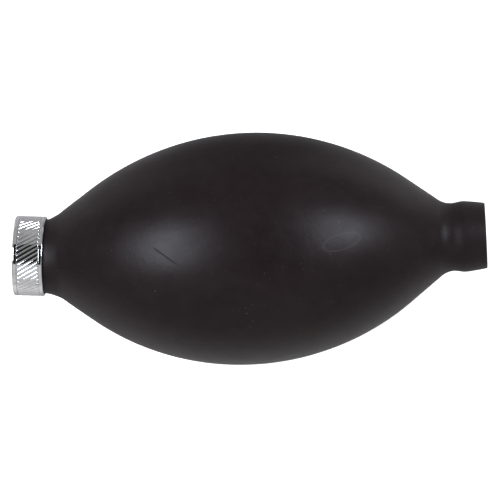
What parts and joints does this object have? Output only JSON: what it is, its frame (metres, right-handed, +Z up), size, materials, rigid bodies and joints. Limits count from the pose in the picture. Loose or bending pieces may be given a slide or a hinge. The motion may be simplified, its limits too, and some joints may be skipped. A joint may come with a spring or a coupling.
{
  "type": "dust blower bulb",
  "caption": "Hand-squeezed lemon-shaped rubber blower bulb with a ball check valve under a knurled metal screw cap and a plain outlet neck for a nozzle.",
  "frame": {"origin": "on the surface that the bulb lies on, below the middle of the belly", "axes": "+X along the bulb's axis towards the outlet neck, +Z up, +Y across to the back side wall"},
  "size_m": [0.1026, 0.05, 0.05],
  "materials": {
    "bulb_rubber": "satin moulded brownish-black rubber with a fine matt grain and a light bloom",
    "cap_chrome": "bright chrome-plated brass, diagonally knurled",
    "valve_brass": "turned brass",
    "gasket_rubber": "matt flat rubber washer",
    "seat_rubber": "soft red-brown valve rubber",
    "ball_steel": "polished bearing ball",
    "spring_steel": "drawn spring wire",
    "gauze_steel": "woven stainless wire"
  },
  "bodies": {
    "bulb": {"bulb_shell": "bulb_rubber", "valve_body": "valve_brass", "cap_gasket": "gasket_rubber", "ball_seat": "seat_rubber", "ball_spring": "spring_steel", "spring_plug": "valve_brass"},
    "front_side": {"front_wall": "bulb_rubber"},
    "back_side": {"back_wall": "bulb_rubber"},
    "ball": {"check_ball": "ball_steel"},
    "cap_travel": {"filter_gauze": "gauze_steel", "snap_ring": "spring_steel"},
    "cap": {"knurled_cap": "cap_chrome"}
  },
  "joints": [
    {"name": "squeeze_front", "type": "slide", "parent": "bulb", "child": "front_side", "axis": [0, 1, 0], "range_m": [0, 0.01], "stiffness_N_per_m": 2000},
    {"name": "squeeze_back", "type": "slide", "parent": "bulb", "child": "back_side", "axis": [0, -1, 0], "range_m": [0, 0.01], "stiffness_N_per_m": 2000},
    {"name": "valve_lift", "type": "slide", "parent": "bulb", "child": "ball", "axis": [0.9973, -0.0732, 0], "range_m": [0, 0.0012], "stiffness_N_per_m": 30, "springref_m": -0.0003, "deforming": ["ball_spring"]},
    {"name": "cap_screw_travel", "type": "slide", "parent": "bulb", "child": "cap_travel", "axis": [-0.9973, 0.0732, 0], "range_m": [0, 0.002]},
    {"name": "cap_turn", "type": "hinge", "parent": "cap_travel", "child": "cap", "pos_m": [-0.04762, 0.00026, 0.025], "axis": [-0.9973, 0.0732, 0], "range_deg": [0, 1440]}
  ],
  "couplings": [
    {"joint": "squeeze_back", "follows": "squeeze_front", "ratio": 1},
    {"joint": "cap_screw_travel", "follows": "cap_turn", "m_per_rad": 0.000079577}
  ]
}
